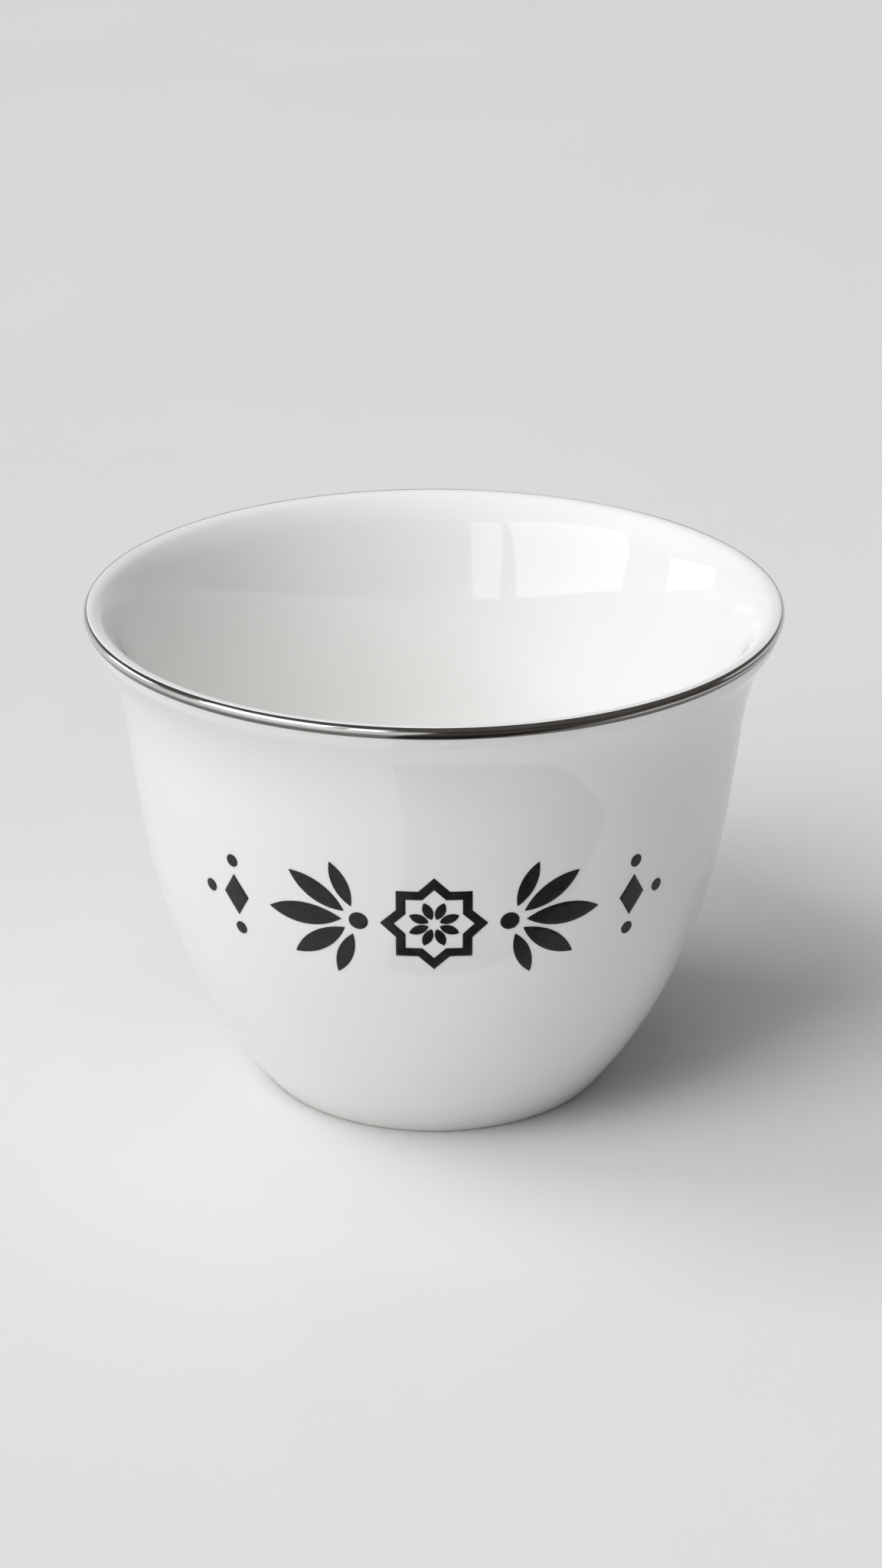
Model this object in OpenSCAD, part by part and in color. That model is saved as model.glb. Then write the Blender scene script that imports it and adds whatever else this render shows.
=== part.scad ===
// A small coffee cup without a handle: a white porcelain bowl with a flared lip,
// a clear glaze, a thin fired metal band on the lip and a black enamel ornament.
// The cup stands on z = 0 with its axis on Z, and its ornament faces -Y.
// Lengths are in millimetres and slopes in degrees from level.

/* [Cup] */
// Outside diameter of the lip, over the glaze
rim_d = 68; // [67:0.25:69]
// Height from the table to the top of the lip
cup_h = 49.4; // [48.8:0.1:50]
// Diameter where the slope of the wall would meet the table
foot_d = 35; // [34.5:0.25:36]
// Thickness of the belly and flank between their glazed faces
wall_t = 3.3; // [3:0.1:3.5]
// Thickness of the floor above the foot well
floor_t = 2.8; // [2.2:0.1:3.6]
// Thickness of the clear glaze
glaze_t = 0.15; // [0.1:0.01:0.2]

/* [Wall outline] */
// Slope of the wall where it leaves the foot
foot_slope = 51; // [50:0.5:52]
// Slope where the belly becomes the flank
belly_slope = 65.5; // [64.5:0.5:66.5]
// Slope where the flank becomes the side
flank_slope = 81.5; // [81:0.25:82]
// Steepest slope, at the top of the side
side_slope = 84; // [83.75:0.25:84.25]
// Radius of the side, the tall and nearly straight stretch
side_r = 240; // [225:5:260]
// Slope at the top of the neck, where the wall starts to flare
neck_slope = 71; // [70:0.5:72]
// Radius of the neck
neck_r = 30; // [28:0.5:32]

/* [Lip] */
// Slope of the underside of the flare
throat_slope = 51; // [50:0.5:52]
// Radius of the hollow under the flare
throat_r = 8; // [7:0.25:9]
// Slope of the outer edge of the lip
edge_slope = 72; // [71:0.5:74]
// Radius of the bend between the underside and the edge
edge_r = 2.4; // [2:0.1:3]
// Length of the straight edge of the lip
edge_run = 1.3; // [1:0.1:1.5]
// Radius of the outer rounding of the lip
lip_r = 0.5; // [0.4:0.05:0.7]
// Slope of the inner face where it starts to round over to the lip
crown_slope = 44; // [42:1:46]
// Radius of that rounding
crown_r = 1.8; // [1.6:0.1:2]
// Slope of the inner face at the lower end of the mouth's bend
mouth_slope = 66; // [65:0.5:67]
// Radius of the mouth's bend
mouth_r = 7.5; // [7:0.25:8]
// Slope of the inner face at the lower end of the neck
brim_slope = 73.5; // [73:0.25:74]

/* [Metal band] */
// Thickness of the fired metal band
band_t = 0.1; // [0.08:0.01:0.15]
// Height of the straight edge that the band covers
band_run = 0.45; // [0.3:0.05:0.9]
// Heading at which the band ends on top of the lip, where 180 is the very top
band_top = 171; // [150:1:176]

/* [Foot] */
// Width of the bare flat ring that the cup stands on
ring_w = 1.9; // [1.4:0.1:2.6]
// Radius of the two edges of the bare ring
ring_round = 0.4; // [0.3:0.05:0.6]
// Depth of the well under the floor
well_h = 1.4; // [1.2:0.1:1.8]
// Radius of the corner in the well
well_round = 0.7; // [0.5:0.05:0.9]
// Slope of the well's wall
well_slope = 80; // [76:1:84]

/* [Ornament] */
// Thickness of the fired enamel
enamel_t = 0.06; // [0.04:0.01:0.1]
// Height of the ornament's middle line above the table
ornament_z = 28; // [26:0.5:30]
// Diameter of the star over its points
star_d = 10; // [8:0.5:11]
// Width of the star's outline
star_line = 0.9; // [0.7:0.1:1.2]
// Number of petals in the rosette in the star
petal_count = 8; // [6:1:10]
// Length of a rosette petal
petal_l = 2.5; // [2:0.1:2.8]
// Width of a rosette petal
petal_w = 0.95; // [0.7:0.05:1]
// Diameter of the rosette's bare middle
rosette_gap = 1.1; // [0.9:0.1:1.4]
// Angle round the cup from the star to the root of a palmette
palmette_turn = 23; // [22:0.5:25]
// Length of the middle leaf of a palmette
leaf_l = 7.4; // [6:0.2:8]
// Width of the middle leaf of a palmette
leaf_w = 2.3; // [1.8:0.1:2.5]
// Angle between two leaves of a palmette
leaf_fan = 34; // [30:1:38]
// Diameter of the bead at the root of a palmette
bead_d = 1.8; // [1.4:0.1:2]
// Clear space between the bead and the leaves
bead_gap = 0.7; // [0.5:0.1:0.9]
// Angle round the cup from the star to a lozenge
lozenge_turn = 39.5; // [38.5:0.5:41]
// Width of a lozenge
lozenge_w = 3; // [2.4:0.1:3.4]
// Height of a lozenge
lozenge_h = 4.4; // [3.6:0.1:4.8]
// Diameter of a small dot
dot_d = 1.3; // [1:0.1:1.6]
// Clear space between a lozenge and the dots above and below it
dot_gap = 0.8; // [0.6:0.1:1]
// Angle round the cup from the star to the end dot
end_turn = 46; // [45:0.5:48]

/* [Hidden] */
$fn = 360;

// Headings along the section: 0 points outwards, 90 up, 180 inwards and 270 down.
// The section is walked with the porcelain on the left hand.
function ahead(h) = [cos(h), sin(h)];
function left(h) = [-sin(h), cos(h)];
// Step along a left-hand bend of radius one from heading h to heading k
function bend(h, k) = [sin(k) - sin(h), cos(h) - cos(k)];
// Solves a * x + b * y = c for x and y
function solve(a, b, c) =
    let (det = a[0] * b[1] - a[1] * b[0])
    [(c[0] * b[1] - c[1] * b[0]) / det, (a[0] * c[1] - a[1] * c[0]) / det];

// The slopes are drawn for a cup whose height is this share of what its lip stands out
// past its foot, and all steepen alike when the cup is made taller or narrower
drawn_steep_share = 494 / 330;
steepening = cup_h / (rim_d - foot_d) / drawn_steep_share;
function steepened(slope) = atan(steepening * tan(slope));
foot_lean = steepened(foot_slope);
belly_lean = steepened(belly_slope);
flank_lean = steepened(flank_slope);
side_lean = steepened(side_slope);
neck_lean = steepened(neck_slope);
throat_lean = steepened(throat_slope);
edge_lean = steepened(edge_slope);
crown_lean = steepened(crown_slope);
mouth_lean = steepened(mouth_slope);
brim_lean = steepened(brim_slope);

// Bare ring: its outer rounding touches the table and the slope of the wall
ring_out = foot_d / 2 - ring_round * tan(foot_lean / 2);
wall_start = [ring_out, 0] + ring_round * bend(0, foot_lean);

// Outer end of the lip's straight edge, where the outer rounding starts
lip_centre = [rim_d / 2 - lip_r, cup_h - lip_r];
edge_end = lip_centre - lip_r * left(edge_lean);

// Belly and flank take up what the other bends leave between the foot and the lip
upper_step = side_r * bend(flank_lean, side_lean)
    - neck_r * bend(side_lean, neck_lean)
    - throat_r * bend(neck_lean, throat_lean)
    + edge_r * bend(throat_lean, edge_lean)
    + edge_run * ahead(edge_lean);
lower_radii = solve(
    bend(foot_lean, belly_lean),
    bend(belly_lean, flank_lean),
    edge_end - upper_step - wall_start);
belly_r = lower_radii[0];
flank_r = lower_radii[1];

// Inner face: it runs beside the outer one up the flank, and two bends take up what
// the mouth and the crown leave between there and the top of the lip
belly_end = wall_start + belly_r * bend(foot_lean, belly_lean);
flank_end = belly_end + flank_r * bend(belly_lean, flank_lean);
lip_top = [lip_centre[0], cup_h];
crown_step = mouth_r * bend(mouth_lean, crown_lean) + crown_r * bend(crown_lean, 0);
inner_radii = solve(
    -bend(flank_lean, brim_lean),
    -bend(brim_lean, mouth_lean),
    lip_top - flank_end - wall_t * left(flank_lean) + crown_step);
inner_side_r = inner_radii[0];
inner_neck_r = inner_radii[1];

// Bowl: one bend from the inner belly down to the level floor
floor_z = well_h + floor_t;
bowl_start = belly_end + wall_t * left(belly_lean);
bowl_r = (bowl_start[1] - floor_z) / (1 - cos(belly_lean));

// Well: its corner, its wall and the bare ring's inner rounding make up its depth
well_fall = -well_slope;
well_run = (well_h - (well_round + ring_round) * (1 - cos(well_slope))) / sin(well_slope);
well_flat = ring_out - ring_w - (ring_round + well_round) * sin(well_slope) - well_run * cos(well_slope);

// A leg is the radius of a bend, the heading after it and the straight run that follows.
// Legs 0 to 5 are the outer wall, 6 and 7 carry the band and 8 to 14 lead into the bowl.
wall_legs = [
    [belly_r, belly_lean, 0],
    [flank_r, flank_lean, 0],
    [side_r, side_lean, 0],
    [neck_r, neck_lean, 0],
    [throat_r, throat_lean, 0],
    [edge_r, edge_lean, edge_run - band_run],
    [0, edge_lean, band_run],
    [lip_r, band_top, 0],
    [lip_r, 180, 0],
    [crown_r, 180 + crown_lean, 0],
    [mouth_r, 180 + mouth_lean, 0],
    [inner_neck_r, 180 + brim_lean, 0],
    [inner_side_r, 180 + flank_lean, 0],
    [flank_r - wall_t, 180 + belly_lean, 0],
    [bowl_r, 180, 0]];
last_leg = len(wall_legs) - 1;
band_legs = [6, 7];
enamel_legs = [0, 2];
well_legs = [[well_round, well_fall, well_run]];
ring_legs = [[ring_round, 0, ring_w], [ring_round, foot_lean, 0]];

// An edge is its two ends, its centre, its radius and its turn: 1 bulges outwards,
// -1 inwards and 0 is straight.
function straight(p, q) = [p, q, p, 0, 0];
function leg_edges(p, h, leg, depth) =
    let (turn = sign(leg[1] - h))
    let (r = leg[0] - turn * depth)
    let (c = p + turn * r * left(h))
    let (q = turn == 0 ? p : c - turn * r * left(leg[1]))
    let (s = q + leg[2] * ahead(leg[1]))
    concat(turn == 0 ? [] : [[p, q, c, r, turn]], leg[2] > 0 ? [straight(q, s)] : []);
function tour(p, h, legs, depth, i = 0) =
    i == len(legs) ? [] :
    let (edges = leg_edges(p, h, legs[i], depth))
    concat([edges], tour(last_end(edges), legs[i][1], legs, depth, i + 1));
function last_end(edges) = edges[len(edges) - 1][1];
function reversed(edges) =
    [for (i = [len(edges) - 1 : -1 : 0]) let (e = edges[i]) [e[1], e[0], e[2], e[3], -e[4]]];
function picked(tours, first, last) = [for (i = [first : last]) each tours[i]];

// Edges of the glazed face at a depth under it, from one leg to another
function face(depth, first = 0, last = last_leg) =
    picked(tour(wall_start + depth * left(foot_lean), foot_lean, wall_legs, depth), first, last);
function well_face(depth) =
    let (corner = [well_flat, well_h + depth])
    concat([straight([0, corner[1]], corner)], picked(tour(corner, 0, well_legs, depth), 0, 0));
// The level floor, from the end of a face to the axis
function to_axis(edges) = [straight(last_end(edges), [0, last_end(edges)[1]])];
// The bare ring, from the foot of the well's wall to the foot of the glazed wall
function ring_face() = picked(tour(last_end(well_face(0)), well_fall, ring_legs, 0), 0, 1);
// Joins runs of edges end to end and closes the ring
function closed(runs) = [
    for (i = [0 : len(runs) - 1])
        let (next = runs[(i + 1) % len(runs)])
        each concat(runs[i], [straight(last_end(runs[i]), next[0][0])])];
// A skin between two depths of the glazed face
function skin(top, bottom, first, last) =
    closed([face(top, first, last), reversed(face(bottom, first, last))]);

// Points along closed edges. A bend is drawn as short chords, which turn by a small
// angle and leave it by a small share of the lip's diameter at most. Runs shorter than
// that are left out.
chord_turn = 9;
chord_share = 6e-5;
chord_sag = rim_d * chord_share;
function spun(v, angle) = [v[0] * cos(angle) - v[1] * sin(angle), v[0] * sin(angle) + v[1] * cos(angle)];
function chord_points(e) =
    let (start = e[0] - e[2])
    let (end = e[1] - e[2])
    let (angle = atan2(cross(start, end), start * end))
    let (count = ceil(abs(angle) / min(chord_turn, 2 * acos(1 - chord_sag / e[3]))))
    [for (i = [0 : count - 1]) e[2] + spun(start, angle * i / count)];
module outline(edges) {
    polygon([
        for (e = edges)
            if (norm(e[1] - e[0]) > chord_sag)
                each (e[4] == 0 ? [e[0]] : chord_points(e))]);
}

module porcelain_body() {
    inside = face(glaze_t);
    color("linen")
        rotate_extrude()
            outline(closed([inside, to_axis(inside), well_face(glaze_t), ring_face()]));
}

module glaze_coat() {
    over = face(0);
    under = face(glaze_t);
    color("white")
        rotate_extrude()
            outline(closed([over, to_axis(over), reversed(to_axis(under)), reversed(under)]));
}

module well_glaze() {
    color("white")
        rotate_extrude()
            outline(closed([well_face(0), reversed(well_face(glaze_t))]));
}

module rim_band() {
    color("silver")
        rotate_extrude()
            outline(skin(-band_t, 0, band_legs[0], band_legs[1]));
}

// The ornament's angles are drawn for figures whose width is this share of the lip, and
// open when the figures are made wider or the cup narrower
drawn_spread_share = 248 / 680;
spread = (star_d + 2 * leaf_l) / rim_d / drawn_spread_share;

// Enamel of a flat figure, laid on the wall at an angle round the cup from the front
module enamel(turn) {
    color("#1b1b1d")
        intersection() {
            rotate_extrude()
                outline(skin(-enamel_t, 0, enamel_legs[0], enamel_legs[1]));
            rotate([0, 0, turn * spread])
                translate([0, 0, ornament_z])
                    rotate([90, 0, 0])
                        linear_extrude(height = rim_d / 2)
                            children();
        }
}

// A pointed leaf from the origin along +X, where two equal circles cross
module leaf(length, width) {
    r = (length * length + width * width) / (4 * width);
    intersection() {
        translate([length / 2, r - width / 2]) circle(r = r);
        translate([length / 2, width / 2 - r]) circle(r = r);
    }
}

// A star of two crossed squares
module star(diameter) {
    side = diameter / sqrt(2);
    for (turn = [0, 45]) {
        rotate(turn) square(side, center = true);
    }
}

module star_medallion() {
    enamel(0) {
        difference() {
            star(star_d);
            star(star_d - 2 * sqrt(2) * star_line);
        }
        for (i = [0 : petal_count - 1]) {
            rotate((i + 0.5) * 360 / petal_count)
                translate([rosette_gap / 2, 0])
                    leaf(petal_l - rosette_gap / 2, petal_w);
        }
    }
}

// Leaves fanned from a bead, the outer ones smaller than the middle one
leaf_shares = [0.66, 0.86, 1, 0.86, 0.66];
module palmette() {
    middle_leaf = (len(leaf_shares) - 1) / 2;
    circle(d = bead_d, $fn = 48);
    for (i = [0 : len(leaf_shares) - 1]) {
        rotate((i - middle_leaf) * leaf_fan)
            translate([bead_d / 2 + bead_gap, 0])
                leaf(leaf_l * leaf_shares[i], leaf_w * leaf_shares[i]);
    }
}

module lozenge() {
    polygon([[lozenge_w / 2, 0], [0, lozenge_h / 2], [-lozenge_w / 2, 0], [0, -lozenge_h / 2]]);
}

// Two dots over and under a lozenge, and one past it
module dots(side) {
    for (updown = [-1, 1]) {
        enamel(side * lozenge_turn)
            translate([0, updown * (lozenge_h / 2 + dot_gap + dot_d / 2)])
                circle(d = dot_d, $fn = 48);
    }
    enamel(side * end_turn) circle(d = dot_d, $fn = 48);
}

module left_palmette() {
    enamel(-palmette_turn) mirror([1, 0]) translate([-leaf_l / 2 - bead_d / 2, 0]) palmette();
}

module right_palmette() {
    enamel(palmette_turn) translate([-leaf_l / 2 - bead_d / 2, 0]) palmette();
}

module left_lozenge() {
    enamel(-lozenge_turn) lozenge();
}

module right_lozenge() {
    enamel(lozenge_turn) lozenge();
}

module left_dots() {
    dots(-1);
}

module right_dots() {
    dots(1);
}

porcelain_body();
glaze_coat();
well_glaze();
rim_band();
star_medallion();
left_palmette();
right_palmette();
left_lozenge();
right_lozenge();
left_dots();
right_dots();
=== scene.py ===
from math import asin, cos, pi, radians, sin, sqrt
import bpy
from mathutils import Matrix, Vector


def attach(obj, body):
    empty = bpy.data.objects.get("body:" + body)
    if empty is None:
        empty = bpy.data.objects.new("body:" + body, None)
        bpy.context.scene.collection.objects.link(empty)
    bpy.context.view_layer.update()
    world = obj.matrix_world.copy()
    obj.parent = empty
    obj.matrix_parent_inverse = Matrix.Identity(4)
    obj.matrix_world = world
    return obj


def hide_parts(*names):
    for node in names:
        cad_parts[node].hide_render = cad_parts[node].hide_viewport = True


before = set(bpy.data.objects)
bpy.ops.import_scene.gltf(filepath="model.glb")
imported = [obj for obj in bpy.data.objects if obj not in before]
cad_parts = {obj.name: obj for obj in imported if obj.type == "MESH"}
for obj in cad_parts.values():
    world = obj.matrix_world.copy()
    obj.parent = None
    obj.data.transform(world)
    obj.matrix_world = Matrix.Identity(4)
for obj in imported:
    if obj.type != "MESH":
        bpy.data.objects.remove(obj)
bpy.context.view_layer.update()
mm = 0.001
print("frame loaded")

# the photograph's camera: height and distance were fitted to the cup's silhouette
camera = {
    "distance": 319.293 * mm,
    "height": 165.453 * mm,
    "pitch": 23.038,
    "lens": 80,
    "film": 36,
    "shift": 0.00438,
    "nearest": 0.01,
}
cameraData = bpy.data.cameras.new("camera")
cameraData.lens = camera["lens"]
cameraData.sensor_fit = "VERTICAL"
cameraData.sensor_height = camera["film"]
cameraData.shift_x = camera["shift"]
cameraData.clip_start = camera["nearest"]
cameraObject = bpy.data.objects.new("camera", cameraData)
cameraObject.location = (0, -camera["distance"], camera["height"])
cameraObject.rotation_euler = (radians(90 - camera["pitch"]), 0, 0)
bpy.context.scene.collection.objects.link(cameraObject)
bpy.context.scene.camera = cameraObject
bpy.context.scene.view_settings.view_transform = "Standard"
print("camera placed")

# materials: each has its own noises for colour, roughness and relief. A noise is its scale
# and detail, and its stretch where it is drawn out. A noise stays near its middle, so the
# whole change of colour or roughness lies between these two values of it
noiseSpan = {"colour": (0.35, 0.65), "roughness": (0.3, 0.7)}


def addNoise(tree, scale, detail, stretch=(1, 1, 1)):
    place = tree.nodes.new("ShaderNodeTexCoord")
    mapping = tree.nodes.new("ShaderNodeMapping")
    mapping.inputs["Scale"].default_value = stretch
    noise = tree.nodes.new("ShaderNodeTexNoise")
    noise.inputs["Scale"].default_value = scale
    noise.inputs["Detail"].default_value = detail
    tree.links.new(place.outputs["Object"], mapping.inputs["Vector"])
    tree.links.new(mapping.outputs["Vector"], noise.inputs["Vector"])
    return noise.outputs["Fac"]


def addRamp(tree, places, colours):
    ramp = tree.nodes.new("ShaderNodeValToRGB")
    for stop in (0, 1):
        ramp.color_ramp.elements[stop].position = places[stop]
        ramp.color_ramp.elements[stop].color = (*colours[stop], 1)
    return ramp


def addSpan(tree, low, high):
    span = tree.nodes.new("ShaderNodeMapRange")
    span.inputs["From Min"].default_value = low
    span.inputs["From Max"].default_value = high
    return span


def varyColour(tree, shader, look):
    noise = addNoise(tree, *look["colourNoise"])
    ramp = addRamp(tree, noiseSpan["colour"], look["colours"])
    tree.links.new(noise, ramp.inputs["Fac"])
    tree.links.new(ramp.outputs["Color"], shader.inputs["Base Color"])


# mixes a second colour in below a height, across a soft border. This is painted reflection: a dark
# lower edge standing in for dark surroundings mirrored there
def paintDarkReflectionEdge(tree, shader, edge):
    place = tree.nodes.new("ShaderNodeTexCoord")
    parts = tree.nodes.new("ShaderNodeSeparateXYZ")
    span = addSpan(tree, edge["bottom"] * mm, edge["top"] * mm)
    mix = tree.nodes.new("ShaderNodeMix")
    mix.data_type = "RGBA"
    mix.inputs["A"].default_value = (*edge["colour"], 1)
    upper = shader.inputs["Base Color"].links[0].from_socket
    tree.links.new(place.outputs["Object"], parts.inputs["Vector"])
    tree.links.new(parts.outputs["Z"], span.inputs["Value"])
    tree.links.new(span.outputs["Result"], mix.inputs["Factor"])
    tree.links.new(upper, mix.inputs["B"])
    tree.links.new(mix.outputs["Result"], shader.inputs["Base Color"])


def varyRoughness(tree, shader, look):
    noise = addNoise(tree, *look["roughnessNoise"])
    span = addSpan(tree, *noiseSpan["roughness"])
    span.inputs["To Min"].default_value = look["roughness"][0]
    span.inputs["To Max"].default_value = look["roughness"][1]
    tree.links.new(noise, span.inputs["Value"])
    tree.links.new(span.outputs["Result"], shader.inputs["Roughness"])


def addRelief(tree, shader, look):
    noise = addNoise(tree, *look["reliefNoise"])
    bump = tree.nodes.new("ShaderNodeBump")
    bump.inputs["Strength"].default_value = 1
    bump.inputs["Distance"].default_value = look["relief"] * mm
    tree.links.new(noise, bump.inputs["Height"])
    tree.links.new(bump.outputs["Normal"], shader.inputs["Normal"])


def makeMaterial(name, look):
    material = bpy.data.materials.new(name)
    material.use_nodes = True
    tree = material.node_tree
    shader = tree.nodes["Principled BSDF"]
    for socket, value in look["shader"].items():
        shader.inputs[socket].default_value = value
    varyColour(tree, shader, look)
    # painted reflection: a dark colour mixed in below a height, where the look asks for one
    if "lowerEdge" in look:
        paintDarkReflectionEdge(tree, shader, look["lowerEdge"])
    if "roughness" in look:
        varyRoughness(tree, shader, look)
    if "relief" in look:
        addRelief(tree, shader, look)
    return material


# white glaze: nearly even, with the slow waviness of a dipped coat
glaze = makeMaterial("white glaze", {
    "shader": {"IOR": 1.52},
    "colours": ((0.903, 0.896, 0.876), (0.928, 0.922, 0.906)),
    "colourNoise": (45, 2),
    "roughness": (0.012, 0.03),
    "roughnessNoise": (240, 4),
    "relief": 0.01,
    "reliefNoise": (75, 1),
})

# bare porcelain of the foot ring: dry, a little warmer, with a fine grain
bisque = makeMaterial("bare porcelain", {
    "shader": {"IOR": 1.5},
    "colours": ((0.76, 0.73, 0.67), (0.85, 0.83, 0.78)),
    "colourNoise": (1800, 6),
    "roughness": (0.6, 0.8),
    "roughnessNoise": (900, 3),
    "relief": 0.015,
    "reliefNoise": (3500, 4),
})

# fired metal of the lip, brushed on, so its thickness and gloss vary a little. Its lower
# edge is painted dark, a painted reflection of dark surroundings, up to the first of two heights
# above the table, and fades out at the second
metal = makeMaterial("fired metal", {
    "shader": {"Metallic": 1},
    "colours": ((0.62, 0.61, 0.60), (0.76, 0.755, 0.74)),
    "colourNoise": (160, 5, (1, 1, 3)),
    # painted reflection: the band's dark lower edge
    "lowerEdge": {"bottom": 48.62, "top": 48.84, "colour": (0.17, 0.16, 0.15)},
    "roughness": (0.08, 0.17),
    "roughnessNoise": (420, 4, (1, 1, 4)),
    "relief": 0.003,
    "reliefNoise": (900, 3, (1, 1, 5)),
})

# black enamel, painted on and fired: glossy, with thinner and thicker strokes
enamel = makeMaterial("black enamel", {
    "shader": {"IOR": 1.5, "Specular IOR Level": 0.3},
    "colours": ((0.010, 0.010, 0.011), (0.019, 0.019, 0.020)),
    "colourNoise": (700, 4),
    "roughness": (0.2, 0.34),
    "roughnessNoise": (900, 4),
    "relief": 0.006,
    "reliefNoise": (1400, 3),
})

# table: a plain pale matt surface
tableTop = makeMaterial("pale table", {
    "shader": {"IOR": 1.45, "Specular IOR Level": 0.2},
    "colours": ((0.768, 0.765, 0.756), (0.788, 0.785, 0.776)),
    "colourNoise": (9, 3),
    "roughness": (0.5, 0.62),
    "roughnessNoise": (300, 4),
    "relief": 0.01,
    "reliefNoise": (1500, 4),
})

# cards: dark, with no gloss of their own
cardDark = makeMaterial("dark card", {
    "shader": {"Specular IOR Level": 0},
    "colours": ((0.055, 0.050, 0.046), (0.065, 0.060, 0.055)),
    "colourNoise": (20, 2),
})
print("materials made")

# outlines are drawn in the XZ plane. A slope of 0 points outwards, 90 up, 180 inwards
# and 270 down, and the porcelain lies on the left of the line. Bends are made of chords
# of about this many degrees or millimetres, whichever gives more of them
chord = {"turn": 5, "length": 0.9, "fewest": 2}
weld = 0.002 * mm


def ahead(slope):
    return Vector((cos(radians(slope)), 0, sin(radians(slope))))


def leftOf(slope):
    return Vector((-sin(radians(slope)), 0, cos(radians(slope))))


def inSection(place):
    return Vector((place[0], 0, place[1])) * mm


def newPiece(name):
    bpy.ops.object.select_all(action="DESELECT")
    bpy.ops.mesh.primitive_plane_add(size=mm)
    piece = bpy.context.object
    piece.name = name
    piece.data.name = name
    bpy.ops.object.mode_set(mode="EDIT")
    bpy.ops.mesh.select_mode(type="VERT")
    bpy.ops.mesh.select_all(action="SELECT")
    bpy.ops.mesh.merge(type="CENTER")
    return piece


# a bend is its radius, the slope after it and the straight run that follows
def drawBend(point, slope, bend):
    radius, slopeAfter, run = bend
    turn = slopeAfter - slope
    if turn:
        side = 1 if turn > 0 else -1
        centre = point + side * radius * mm * leftOf(slope)
        steps = max(
            chord["fewest"],
            round(abs(turn) / chord["turn"]),
            round(radians(abs(turn)) * radius / chord["length"]),
        )
        bpy.ops.mesh.spin(steps=steps, angle=-radians(turn), center=centre, axis=(0, -1, 0))
        point = centre - side * radius * mm * leftOf(slopeAfter)
    if run:
        step = run * mm * ahead(slopeAfter)
        bpy.ops.mesh.extrude_region_move(TRANSFORM_OT_translate={"value": step})
        point = point + step
    return point, slopeAfter


def drawBends(point, slope, bends):
    for bend in bends:
        point, slope = drawBend(point, slope, bend)
    return point, slope


def drawOutline(start, slope, bends):
    point = inSection(start)
    bpy.ops.transform.translate(value=point)
    return drawBends(point, slope, bends)


def drawLineTo(point, target, steps=1):
    for i in range(steps):
        bpy.ops.mesh.extrude_region_move(TRANSFORM_OT_translate={"value": (target - point) / steps})


def turnRound(piece, steps):
    bpy.ops.mesh.select_all(action="SELECT")
    bpy.ops.mesh.spin(steps=steps, angle=2 * pi, center=(0, 0, 0), axis=(0, 0, 1))
    bpy.ops.mesh.select_all(action="SELECT")
    bpy.ops.mesh.remove_doubles(threshold=weld)
    bpy.ops.mesh.normals_make_consistent(inside=False)
    bpy.ops.object.mode_set(mode="OBJECT")


# turns the faces over if the one furthest along the given way looks back
def faceAlong(piece, way):
    way = Vector(way)
    outermost = max(piece.data.polygons, key=lambda face: face.center.dot(way))
    if outermost.normal.dot(way) < 0:
        piece.data.flip_normals()


def thicken(piece, thickness, outwards):
    modifier = piece.modifiers.new("coat", "SOLIDIFY")
    modifier.thickness = thickness
    modifier.offset = 1 if outwards else -1
    bpy.ops.object.modifier_apply(modifier=modifier.name)


def softenEdges(piece, width):
    modifier = piece.modifiers.new("soft edge", "BEVEL")
    modifier.width = width
    modifier.segments = 2
    modifier.limit_method = "ANGLE"
    modifier.angle_limit = radians(40)
    bpy.ops.object.modifier_apply(modifier=modifier.name)


# edges that turn by less than the angle are shaded smooth
def finishPiece(piece, material, node, angle=35):
    bpy.ops.object.shade_smooth_by_angle(angle=radians(angle))
    piece.data.materials.clear()
    piece.data.materials.append(material)
    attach(piece, "root")
    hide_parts(node)


# glaze coat: up the outside, over the lip, down the inside and across the floor. In order,
# the bends are belly, flank, side, neck, throat and edge, then the straight edge and the
# lip that the metal band lies on, then lip, crown, mouth, neck, side, flank and bottom
cup = {
    "footEdge": (17.62007, 0.14827),
    "footSlope": 51,
    "outside": [
        (48.4917, 65.5, 0),
        (62.7083, 81.5, 0),
        (240, 84, 0),
        (30, 71, 0),
        (8, 51, 0),
        (2.4, 72, 0.85),
    ],
    "bandSeat": [(0, 72, 0.45), (0.5, 171, 0)],
    "inside": [
        (0.5, 180, 0),
        (1.8, 224, 0),
        (7.5, 246, 0),
        (38.3251, 253.5, 0),
        (103.2808, 261.5, 0),
        (59.4083, 245.5, 0),
        (13.1972, 180, 0),
    ],
    "floorHeight": 4.2,
    "floorSteps": 6,
    "glaze": 0.15,
    "steps": 192,
    "smoothAngle": 60,
}
cupBends = cup["outside"] + cup["bandSeat"] + cup["inside"]
glazeCoat = newPiece("glaze_coat_dressed")
point, slope = drawOutline(cup["footEdge"], cup["footSlope"], cupBends)
drawLineTo(point, Vector((0, 0, cup["floorHeight"] * mm)), cup["floorSteps"])
turnRound(glazeCoat, cup["steps"])
faceAlong(glazeCoat, (0, 0, 1))
thicken(glazeCoat, cup["glaze"] * mm, outwards=False)
finishPiece(glazeCoat, glaze, "glaze_coat", cup["smoothAngle"])
print("glaze coat modelled")


# the same bends, seen at a depth under the glaze
def underGlaze(bends, slope, depth):
    deeper = []
    for radius, slopeAfter, run in bends:
        side = (slopeAfter > slope) - (slopeAfter < slope)
        deeper.append((radius - side * depth, slopeAfter, run))
        slope = slopeAfter
    return deeper


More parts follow.
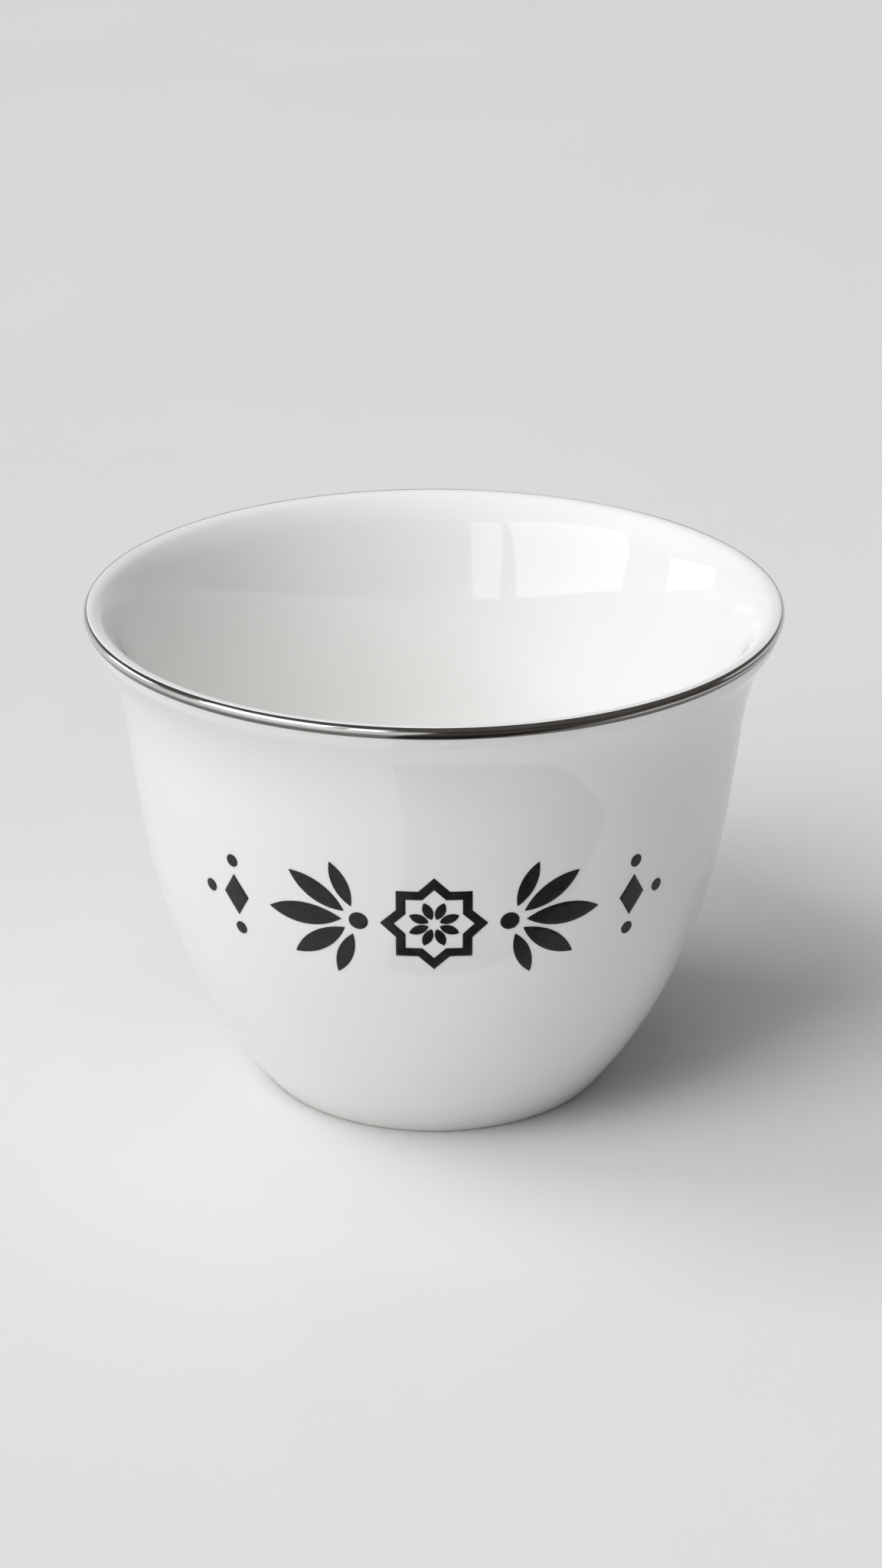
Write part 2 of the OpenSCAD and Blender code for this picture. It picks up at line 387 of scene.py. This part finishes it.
# porcelain: the well, the ground foot ring and the wall and floor under the glaze. Only
# the ring shows, from below
body = {
    "wellMiddle": (0, 1.55),
    "well": [(0, 0, 14.2393), (0.85, -80, 0.4986)],
    "ringStart": (15.0153, 0.3305),
    "ring": [(0.4, 0, 1.9), (0.4, 51, 0)],
    "floorSteps": 3,
    "steps": 144,
}
porcelainBody = newPiece("porcelain_body_dressed")
point, slope = drawOutline(body["wellMiddle"], 0, body["well"])
ringStart = inSection(body["ringStart"])
drawLineTo(point, ringStart)
point, slope = drawBends(ringStart, slope, body["ring"])
wallStart = point + cup["glaze"] * mm * leftOf(slope)
drawLineTo(point, wallStart)
point, slope = drawBends(wallStart, slope, underGlaze(cupBends, slope, cup["glaze"]))
drawLineTo(point, Vector((0, 0, point.z)), body["floorSteps"])
turnRound(porcelainBody, body["steps"])
finishPiece(porcelainBody, bisque, "porcelain_body")
print("porcelain body modelled")

# glaze in the well under the floor, up to the bare ring
well = {
    "middle": (0, 1.4),
    "bends": [(0, 0, 14.2393), (0.7, -80, 0.4986)],
    "steps": 144,
    "smoothAngle": 60,
}
wellGlaze = newPiece("well_glaze_dressed")
drawOutline(well["middle"], 0, well["bends"])
turnRound(wellGlaze, well["steps"])
faceAlong(wellGlaze, (0, 0, -1))
thicken(wellGlaze, cup["glaze"] * mm, outwards=False)
finishPiece(wellGlaze, glaze, "well_glaze", well["smoothAngle"])
print("well glaze modelled")

# metal band on the outer edge of the lip. The brush stopped short of the inner end of its
# seat on the lip
band = {
    "lowerEdge": (33.8365, 48.3175),
    "slope": 72,
    "bends": [(0, 72, 0.45), (0.5, 154, 0)],
    "thickness": 0.05,
    "softness": 0.02,
    "smoothAngle": 50,
}
rimBand = newPiece("rim_band_dressed")
drawOutline(band["lowerEdge"], band["slope"], band["bends"])
turnRound(rimBand, cup["steps"])
faceAlong(rimBand, (0, 0, 1))
thicken(rimBand, band["thickness"] * mm, outwards=True)
softenEdges(rimBand, band["softness"] * mm)
finishPiece(rimBand, metal, "rim_band", band["smoothAngle"])
print("rim band modelled")

# ornament: each figure is drawn flat in front of the cup, laid on the wall, given the
# enamel's thickness and a soft edge, and then turned round the cup to its place
ornament = {
    "height": 28,
    "thickness": 0.06,
    "softness": 0.025,
    "front": -40,
    "palmetteTurn": 23,
    "lozengeTurn": 39.5,
    "endTurn": 46,
}


# the count is up to date only after a change of mode
def countPoints(piece):
    bpy.ops.object.mode_set(mode="OBJECT")
    bpy.ops.object.mode_set(mode="EDIT")
    return len(piece.data.vertices)


def pickPoints(piece, chosen):
    bpy.ops.mesh.select_all(action="DESELECT")
    bpy.ops.object.mode_set(mode="OBJECT")
    for vertex in piece.data.vertices:
        vertex.select = chosen(vertex)
    bpy.ops.object.mode_set(mode="EDIT")


def moveFigure(x, z):
    bpy.ops.transform.translate(value=(x * mm, 0, z * mm))


def sizeFigure(share, centre=(0, 0, 0)):
    bpy.ops.transform.resize(value=(share, share, share), center_override=centre)


def spinFigure(angle):
    bpy.ops.transform.rotate(value=radians(angle), orient_axis="Y", center_override=(0, 0, 0))


def addDisc(diameter, steps):
    bpy.ops.mesh.primitive_circle_add(
        vertices=steps, radius=diameter / 2 * mm, fill_type="TRIFAN", rotation=(pi / 2, 0, 0))
    bpy.ops.mesh.subdivide(number_cuts=2)


# a pointed leaf along X: two equal bends between its tips, with faces bridged between them
def drawLeaf(start, length, width, steps, rows):
    radius = (length ** 2 + width ** 2) / (4 * width)
    turn = 2 * asin(length / 2 / radius)
    for side in (1, -1):
        centre = Vector((start + length / 2, 0, side * (width / 2 - radius))) * mm
        bpy.ops.mesh.spin(steps=steps, angle=side * turn, center=centre, axis=(0, -1, 0))
        if side == 1:
            bpy.ops.mesh.select_all(action="DESELECT")
            bpy.ops.mesh.primitive_plane_add(size=mm)
            bpy.ops.mesh.merge(type="CENTER")
            moveFigure(start, 0)
    bpy.ops.mesh.select_all(action="SELECT")
    bpy.ops.mesh.bridge_edge_loops(number_cuts=rows, interpolation="LINEAR")
    bpy.ops.mesh.select_all(action="SELECT")
    bpy.ops.mesh.remove_doubles(threshold=weld)


def layOnWall(piece):
    bpy.ops.mesh.select_all(action="SELECT")
    bpy.ops.transform.translate(value=(0, ornament["front"] * mm, ornament["height"] * mm))
    bpy.ops.mesh.normals_make_consistent(inside=False)
    bpy.ops.object.mode_set(mode="OBJECT")
    faceAlong(piece, (0, -1, 0))
    wrap = piece.modifiers.new("wall", "SHRINKWRAP")
    wrap.target = glazeCoat
    wrap.wrap_method = "PROJECT"
    wrap.use_project_y = True
    wrap.use_positive_direction = True
    bpy.ops.object.modifier_apply(modifier=wrap.name)
    thicken(piece, ornament["thickness"] * mm, outwards=True)
    softenEdges(piece, ornament["softness"] * mm)


def pickPiece(piece):
    bpy.ops.object.select_all(action="DESELECT")
    piece.select_set(True)
    bpy.context.view_layer.objects.active = piece


def turnRoundCup(angle):
    bpy.ops.transform.rotate(value=-radians(angle), orient_axis="Z", center_override=(0, 0, 0))


def turnToPlace(angle):
    bpy.ops.object.mode_set(mode="EDIT")
    bpy.ops.mesh.select_all(action="SELECT")
    turnRoundCup(angle)
    bpy.ops.object.mode_set(mode="OBJECT")


def mirroredCopy(piece, name):
    pickPiece(piece)
    bpy.ops.object.duplicate()
    copy = bpy.context.object
    copy.name = name
    copy.data.name = name
    bpy.ops.object.mode_set(mode="EDIT")
    bpy.ops.mesh.select_all(action="SELECT")
    bpy.ops.transform.resize(value=(-1, 1, 1), center_override=(0, 0, 0))
    bpy.ops.mesh.flip_normals()
    bpy.ops.object.mode_set(mode="OBJECT")
    return copy


# star: an outline of two crossed squares round a rosette of petals. Its inner corners lie
# at a share of its radius
star = {
    "diameter": 10,
    "points": 8,
    "notchShare": 0.76537,
    "line": 0.9,
    "cuts": 3,
    "petals": 8,
    "petalLength": 2.5,
    "petalWidth": 0.95,
    "petalSteps": 12,
    "petalRows": 3,
    "rosetteGap": 1.1,
}
medallion = newPiece("star_medallion_dressed")
petalStart = star["rosetteGap"] / 2
petalRun = star["petalLength"] - petalStart
moveFigure(petalStart, 0)
drawLeaf(petalStart, petalRun, star["petalWidth"], star["petalSteps"], star["petalRows"])
bpy.ops.mesh.select_all(action="SELECT")
spinFigure(180 / star["petals"])
for petal in range(star["petals"] - 1):
    bpy.ops.mesh.duplicate()
    spinFigure(360 / star["petals"])
petalPoints = countPoints(medallion)
bpy.ops.mesh.select_all(action="DESELECT")
bpy.ops.mesh.primitive_circle_add(
    vertices=2 * star["points"], radius=star["diameter"] / 2 * mm, rotation=(pi / 2, 0, 0))
starPoints = range(petalPoints, countPoints(medallion))
pickPoints(medallion, lambda point: point.index in starPoints[1::2])
sizeFigure(star["notchShare"])
pickPoints(medallion, lambda point: point.index in starPoints)
bpy.ops.mesh.extrude_edges_move()
sizeFigure(1 - 2 * sqrt(2) * star["line"] / star["diameter"])
pickPoints(medallion, lambda point: point.index >= petalPoints)
bpy.ops.mesh.subdivide(number_cuts=star["cuts"])
layOnWall(medallion)
finishPiece(medallion, enamel, "star_medallion")
print("star medallion modelled")

# palmettes: leaves fanned from a bead, the outer ones smaller
palmette = {
    "leafLength": 7.4,
    "leafWidth": 2.3,
    "leafSteps": 20,
    "leafRows": 5,
    "leafShares": (0.66, 0.86, 0.86, 0.66),
    "leafTurns": (-68, -34, 34, 68),
    "beadDiameter": 1.8,
    "beadSteps": 40,
    "beadGap": 0.7,
}
rightPalmette = newPiece("right_palmette_dressed")
leafStart = palmette["beadDiameter"] / 2 + palmette["beadGap"]
moveFigure(leafStart, 0)
drawLeaf(
    leafStart, palmette["leafLength"], palmette["leafWidth"],
    palmette["leafSteps"], palmette["leafRows"])
leafPoints = countPoints(rightPalmette)
for share, turn in zip(palmette["leafShares"], palmette["leafTurns"]):
    pickPoints(rightPalmette, lambda point: point.index < leafPoints)
    bpy.ops.mesh.duplicate()
    sizeFigure(share, (leafStart * mm, 0, 0))
    spinFigure(turn)
bpy.ops.mesh.select_all(action="DESELECT")
addDisc(palmette["beadDiameter"], palmette["beadSteps"])
bpy.ops.mesh.select_all(action="SELECT")
moveFigure(-(palmette["leafLength"] + palmette["beadDiameter"]) / 2, 0)
layOnWall(rightPalmette)
turnToPlace(ornament["palmetteTurn"])
leftPalmette = mirroredCopy(rightPalmette, "left_palmette_dressed")
finishPiece(leftPalmette, enamel, "left_palmette")
pickPiece(rightPalmette)
finishPiece(rightPalmette, enamel, "right_palmette")
print("palmettes modelled")

# lozenges: a square on its corner, drawn 1 mm across and then brought to size
lozenge = {"width": 3, "height": 4.4, "cuts": 5}
rightLozenge = newPiece("right_lozenge_dressed")
bpy.ops.mesh.primitive_circle_add(
    vertices=4, radius=mm / 2, fill_type="NGON", rotation=(pi / 2, 0, 0))
bpy.ops.mesh.subdivide(number_cuts=lozenge["cuts"])
bpy.ops.transform.resize(
    value=(lozenge["width"], 1, lozenge["height"]), center_override=(0, 0, 0))
layOnWall(rightLozenge)
turnToPlace(ornament["lozengeTurn"])
leftLozenge = mirroredCopy(rightLozenge, "left_lozenge_dressed")
finishPiece(leftLozenge, enamel, "left_lozenge")
pickPiece(rightLozenge)
finishPiece(rightLozenge, enamel, "right_lozenge")
print("lozenges modelled")

# dots over and under each lozenge, and one past it
dots = {"diameter": 1.3, "gap": 0.8, "steps": 32}
rightDots = newPiece("right_dots_dressed")
addDisc(dots["diameter"], dots["steps"])
dotStep = lozenge["height"] / 2 + dots["gap"] + dots["diameter"] / 2
for step in (dotStep, -2 * dotStep):
    bpy.ops.mesh.duplicate()
    moveFigure(0, step)
layOnWall(rightDots)


def inMiddleDot(point):
    return abs(point.co.z - ornament["height"] * mm) < dots["diameter"] * mm


bpy.ops.object.mode_set(mode="EDIT")
pickPoints(rightDots, lambda point: not inMiddleDot(point))
turnRoundCup(ornament["lozengeTurn"])
pickPoints(rightDots, inMiddleDot)
turnRoundCup(ornament["endTurn"])
bpy.ops.object.mode_set(mode="OBJECT")
leftDots = mirroredCopy(rightDots, "left_dots_dressed")
finishPiece(leftDots, enamel, "left_dots")
pickPiece(rightDots)
finishPiece(rightDots, enamel, "right_dots")
print("dots modelled")

# table
table = {"size": 40}
bpy.ops.object.select_all(action="DESELECT")
bpy.ops.mesh.primitive_plane_add(size=table["size"])
floor = bpy.context.object
floor.name = "table"
floor.data.materials.append(tableTop)
print("table laid")

# light: a soft window at the left, a little of it from behind and above, in a dim room.
# Directions are turns from the front, with the left negative, and angles above the table.
# The gloss doesn't see these lamps, which would show in it as plain squares
window = {
    "distance": 12,
    "size": 5.4,
    "colour": (0.982, 0.99, 1.007),
    "sources": [
        {"name": "window low", "turn": -45, "rise": 30, "radiance": 2.7},
        {"name": "window high", "turn": -45, "rise": 55, "radiance": 5.9},
        {"name": "window front", "turn": -28, "rise": 45, "radiance": 0.95},
        {"name": "window side", "turn": -100, "rise": 50, "radiance": 4.95},
        {"name": "room behind", "turn": -150, "rise": 45, "radiance": 0.5},
        {"name": "ceiling", "turn": 0, "rise": 85, "radiance": 1.75},
    ],
}


def addSource(item, width, height):
    sourceLight = bpy.data.lights.new(item["name"], "AREA")
    sourceLight.shape = "RECTANGLE"
    sourceLight.size = width
    sourceLight.size_y = height
    sourceLight.energy = item["radiance"] * pi * width * height
    sourceLight.color = window["colour"]
    source = bpy.data.objects.new(item["name"], sourceLight)
    turn, rise = radians(item["turn"]), radians(item["rise"])
    level = cos(rise) * window["distance"]
    source.location = (sin(turn) * level, -cos(turn) * level, sin(rise) * window["distance"])
    source.rotation_euler = source.location.to_track_quat("Z", "Y").to_euler()
    source.visible_camera = False
    bpy.context.scene.collection.objects.link(source)
    return source


for item in window["sources"]:
    source = addSource(item, window["size"], window["size"])
    source.visible_glossy = False

# what the glaze and the metal mirror: three panes, seen only in gloss
panes = [
    {"name": "narrow pane", "turn": -21, "rise": 18, "size": (2.4, 7.4), "radiance": 1.7},
    {"name": "wide pane", "turn": -56, "rise": 21, "size": (10, 8.4), "radiance": 1.7},
    {"name": "far pane", "turn": -112, "rise": 10, "size": (5.2, 4), "radiance": 1.7},
]
for item in panes:
    pane = addSource(item, *item["size"])
    pane.visible_diffuse = False

# the dark side of the room, in front and at the right: cards on the table and upright at its
# end, which only the gloss sees. Each reaches from one corner to the other, in millimetres
cards = [
    {"name": "front_card", "from": (-12, -600, 0.2), "to": (590, -45, 0.6)},
    {"name": "side_card", "from": (110, -45, 0.2), "to": (590, 110, 0.6)},
    {"name": "front_screen", "from": (-12, -602, 0.6), "to": (590, -600, 250)},
    {"name": "side_screen", "from": (590, -602, 0.6), "to": (592, 110, 250)},
]
for item in cards:
    low, high = Vector(item["from"]) * mm, Vector(item["to"]) * mm
    bpy.ops.object.select_all(action="DESELECT")
    bpy.ops.mesh.primitive_cube_add(size=1, location=(low + high) / 2, scale=high - low)
    card = bpy.context.object
    card.name = item["name"]
    card.data.materials.append(cardDark)
    for ray in ("camera", "diffuse", "transmission", "volume_scatter", "shadow"):
        setattr(card, "visible_" + ray, False)

# the room: dim light all round, and what the camera, the gloss and glass see of it, a pale
# wall that fades into a dark ceiling between two heights, given as the ray's rise
room = {
    "light": (0.18, 0.181, 0.183),
    "wall": (0.60, 0.60, 0.60),
    "ceiling": (0.08, 0.074, 0.069),
    "wallTop": (0.12, 0.3),
}
world = bpy.data.worlds.new("room")
world.use_nodes = True
tree = world.node_tree
rays = tree.nodes.new("ShaderNodeLightPath")
direction = tree.nodes.new("ShaderNodeTexCoord")
parts = tree.nodes.new("ShaderNodeSeparateXYZ")
seen = addRamp(tree, room["wallTop"], (room["wall"], room["ceiling"]))
tree.links.new(direction.outputs["Generated"], parts.inputs["Vector"])
tree.links.new(parts.outputs["Z"], seen.inputs["Fac"])
anyRay = rays.outputs["Is Camera Ray"]
for kind in ("Is Glossy Ray", "Is Transmission Ray"):
    either = tree.nodes.new("ShaderNodeMath")
    either.operation = "MAXIMUM"
    tree.links.new(anyRay, either.inputs[0])
    tree.links.new(rays.outputs[kind], either.inputs[1])
    anyRay = either.outputs["Value"]
roomColour = tree.nodes.new("ShaderNodeMix")
roomColour.data_type = "RGBA"
roomColour.inputs["A"].default_value = (*room["light"], 1)
tree.links.new(anyRay, roomColour.inputs["Factor"])
tree.links.new(seen.outputs["Color"], roomColour.inputs["B"])
tree.links.new(roomColour.outputs["Result"], tree.nodes["Background"].inputs["Color"])
bpy.context.scene.world = world
print("lights placed")
